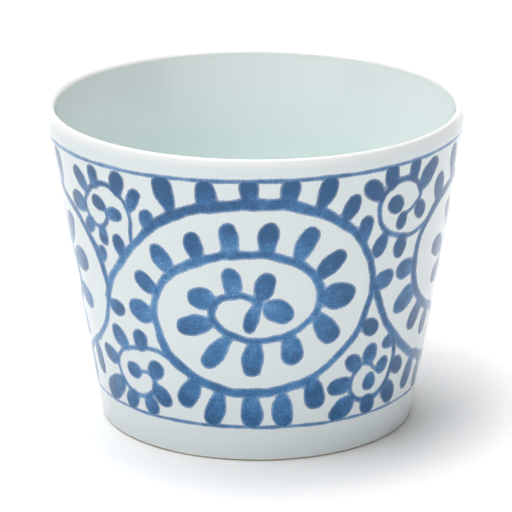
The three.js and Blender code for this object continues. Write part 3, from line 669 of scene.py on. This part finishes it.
def cobalt_material():
    """Cobalt wash under the glaze: soft bleeding edges, pooled pigment, brush streaks and fine grain."""
    material, tree, shader = new_material("cobalt_under_glaze")
    depth = attribute(tree, "depth")
    bleed = ranged(tree, noise(tree, 1300), 0.25, 0.75, -0.07, 0.07)
    cover = ranged(tree, arithmetic(tree, "ADD", depth, bleed), -0.86, 0.64)
    streak = ranged(tree, noise(tree, 600, (1, 1, 4)), 0.3, 0.7, -0.08, 0.08)
    grain = ranged(tree, noise(tree, 3600), 0.3, 0.7, -0.2, 0.2)
    cloud = ranged(tree, noise(tree, 420), 0.3, 0.7, -0.12, 0.12)
    load = attribute(tree, "load")
    for change in (streak, grain, cloud, ranged(tree, depth, 0.1, 0.7, -0.1, 0.08)):
        load = arithmetic(tree, "ADD", load, change)
    wash = blended(tree, ranged(tree, load, 0.05, 0.5), PALE_COBALT, MID_COBALT)
    pigment = blended(tree, ranged(tree, load, 0.45, 1.0), wash, DEEP_COBALT)
    colour = blended(tree, cover, glaze_colour(tree), pigment)
    tree.links.new(colour, shader.inputs["Base Color"])
    glossy(tree, shader)
    return material


def clay_material():
    """Bare fired porcelain: matt, warm where the flame has toasted it, with fine pores and specks."""
    material, tree, shader = new_material("bare_porcelain_clay")
    toasted = ranged(tree, noise(tree, 130, detail=3.0), 0.35, 0.65)
    colour = blended(tree, toasted, PALE_CLAY, WARM_CLAY)
    specks = ranged(tree, noise(tree, 2600), 0.66, 0.74, 0.0, 0.5)
    colour = blended(tree, specks, colour, IRON_SPECK)
    tree.links.new(colour, shader.inputs["Base Color"])
    shader.inputs["Roughness"].default_value = 0.85
    bump = add_node(tree, "Bump", {"Height": noise(tree, 3500), "Strength": 0.35, "Distance": 0.0002})
    tree.links.new(bump.outputs[0], shader.inputs["Normal"])
    return material


# ---------------------------------------------------------------- pieces


def place(piece, slot, *nodes):
    """A piece rides on the cup and stands for its CAD nodes."""
    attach(piece, "root")
    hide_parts(*nodes)


# rows with one share for the glaze's colour, which carries the glaze pool and the painted light of the
# inside
def with_pool_and_light(rows, pool_and_light=0.0):
    return np.column_stack([np.array(rows, float), np.full(len(rows), pool_and_light)])


def add_body():
    """The clay body, from the middle of the recess over the foot ring and back up under the glaze."""
    ring_outside = wall_radius(0) - FOOT_EDGE
    ring_inside = ring_outside - FOOT_RING_WIDTH
    recess = np.linspace([0, RECESS_DEPTH], [ring_inside - RECESS_SLOPE, RECESS_DEPTH], 8)
    inner_edge = arc([ring_inside - 0.1, 0.3], [0.3, 0.3], 200, 270, 4)
    outer_edge = arc([ring_outside - 0.35, FOOT_EDGE], [0.65, FOOT_EDGE], -90, 0, 6)
    foot = with_pool_and_light(np.vstack([recess, inner_edge, outer_edge]))
    rows = np.vstack([foot, skin(GLAZE_THICKNESS, BARE_BAND)])
    place(turned("porcelain_clay", rows, clay), "bare_porcelain", "porcelain_body")


def add_glaze():
    """The glaze as a closed skin: up its hidden face against the clay, round its lower edge, and over."""
    hidden = skin(GLAZE_THICKNESS - 0.02, BARE_BAND)[::-1]
    lower_edge = wall_radius(BARE_BAND) - GLAZE_THICKNESS / 2
    edge = with_pool_and_light(arc([lower_edge, BARE_BAND], [GLAZE_THICKNESS / 2, 0.25], -180, 0, 8)[1:-1], 0.6)
    rows = np.vstack([hidden, edge, skin(0, BARE_BAND)])
    place(turned("glaze_skin", rows, glaze), "clear_glaze", "glaze_coat")


def add_foot_glaze():
    """The glazed disc in the foot recess, with a rounded edge."""
    reach = wall_radius(0) - FOOT_EDGE - FOOT_RING_WIDTH - RECESS_SLOPE
    level = RECESS_DEPTH - GLAZE_THICKNESS
    rim = arc([reach - 0.3, RECESS_DEPTH], [0.3, GLAZE_THICKNESS], -90, 0, 6)
    rows = np.vstack([np.linspace([0, level], [reach - 0.4, level], 12), rim, [[0, RECESS_DEPTH]]])
    place(turned("foot_glaze_disc", with_pool_and_light(rows, 0.5), glaze), "clear_glaze", "foot_glaze")


def add_band():
    """The two ring lines and the four repeats between them."""
    add_ring("upper_line", UPPER_LINE, 1)
    add_ring("lower_line", LOWER_LINE, 2)
    clockwise = (CLOCKWISE_MEDALLION, RISING_SCROLL, CREEPING_SCROLL)
    anticlockwise = (ANTICLOCKWISE_MEDALLION, CLIMBING_SCROLL, DROOPING_SCROLL)
    for index, side in enumerate(["front", "right", "back", "left"]):
        parts = anticlockwise if index % 2 else clockwise
        add_repeat(side, index * REPEAT_ANGLE, *parts, seed=10 * (index + 1))


# ---------------------------------------------------------------- stage

CAMERA_ELEVATION = 18.2257  # degrees above the table
CAMERA_DISTANCE = 732.5
CAMERA_TARGET = (-0.2, 0, 32.54)
CAMERA_LENS = 251.3  # on a 36 mm sensor
TABLE_WHITE = (0.93, 0.93, 0.93, 1)
TABLE_FLAT = 2000  # radius of the flat part of the table
# Its edge turns up along a circle of this radius, from -90 degrees to this angle on the circle.
UPTURN_RADIUS, UPTURN_END = 2600, -67
UPTURN_STEPS = 10
CARD_DISTANCE, CARD_HEIGHT = 1500, 700
SKY_STRENGTH = 0.09
LAMP_BREADTH = 40  # degrees across


def aim(thing, place_at, target):
    """Puts a camera or light at a place in mm, looking at another."""
    offset = np.array(target, float) - np.array(place_at, float)
    flat = math.hypot(offset[0], offset[1])
    thing.location = [value * METRES for value in place_at]
    thing.rotation_euler = (math.atan2(flat, -offset[2]), 0, math.atan2(-offset[0], offset[1]))


def add_camera():
    data = bpy.data.cameras.new("camera")
    data.lens = CAMERA_LENS
    data.sensor_width = 36
    data.clip_start = 0.01
    camera = bpy.data.objects.new("camera", data)
    bpy.context.scene.collection.objects.link(camera)
    back = CAMERA_DISTANCE * math.cos(CAMERA_ELEVATION * DEGREES)
    up = CAMERA_DISTANCE * math.sin(CAMERA_ELEVATION * DEGREES)
    x, y, z = CAMERA_TARGET
    aim(camera, (x, y - back, z + up), CAMERA_TARGET)
    bpy.context.scene.camera = camera


def add_floor():
    """A white table top that turns up far away all round, so that no horizon shows."""
    material, tree, shader = new_material("studio_table")
    shader.inputs["Base Color"].default_value = TABLE_WHITE
    shader.inputs["Roughness"].default_value = 0.9
    shader.inputs["Specular IOR Level"].default_value = 0.0
    upturn = arc([TABLE_FLAT, UPTURN_RADIUS], [UPTURN_RADIUS, UPTURN_RADIUS], -90, UPTURN_END, UPTURN_STEPS)
    turned("table", with_pool_and_light(np.vstack([[0, 0], upturn])), material)


def add_lamp(name, degrees, elevation, strength):
    """A broad distant lamp. degrees is its bearing round the cup, and strength lights a white wall."""
    data = bpy.data.lights.new(name, "SUN")
    data.energy = strength * math.pi
    data.angle = LAMP_BREADTH * DEGREES
    lamp = bpy.data.objects.new(name, data)
    bpy.context.scene.collection.objects.link(lamp)
    bearing, rise = degrees * DEGREES, elevation * DEGREES
    flat = math.cos(rise)
    aim(lamp, (flat * math.sin(bearing), -flat * math.cos(bearing), math.sin(rise)), (0, 0, 0))


def add_card(name, degrees, width, brightness):
    """A white card that stands on the table and faces the cup, which the glaze mirrors."""
    data = bpy.data.lights.new(name, "AREA")
    data.shape = "RECTANGLE"
    data.size, data.size_y = width * METRES, CARD_HEIGHT * METRES
    data.energy = brightness * math.pi * data.size * data.size_y
    card = bpy.data.objects.new(name, data)
    bpy.context.scene.collection.objects.link(card)
    bearing = degrees * DEGREES
    middle = CARD_HEIGHT / 2
    place_at = (CARD_DISTANCE * math.sin(bearing), -CARD_DISTANCE * math.cos(bearing), middle)
    aim(card, place_at, (0, 0, middle))


def add_light():
    """Dim white surroundings, broad lamps above, behind and to the left, and a card before and behind."""
    world = bpy.data.worlds.new("studio")
    world.use_nodes = True
    sky = world.node_tree.nodes["Background"]
    sky.inputs["Color"].default_value = (1, 1, 1, 1)
    sky.inputs["Strength"].default_value = SKY_STRENGTH
    bpy.context.scene.world = world
    add_lamp("lamp_above", 180, 88, 0.45)
    add_lamp("lamp_behind", 197, 68, 0.40)
    add_lamp("lamp_left", -60, 63, 0.47)
    add_card("front_card", 0, 4200, 0.8)
    add_card("back_card", 180, 2800, 0.6)


bpy.context.scene.view_settings.view_transform = "Standard"
glaze = glaze_material()
cobalt = cobalt_material()
clay = clay_material()
add_camera()
add_floor()
add_light()
add_body()
add_glaze()
add_foot_glaze()
add_band()
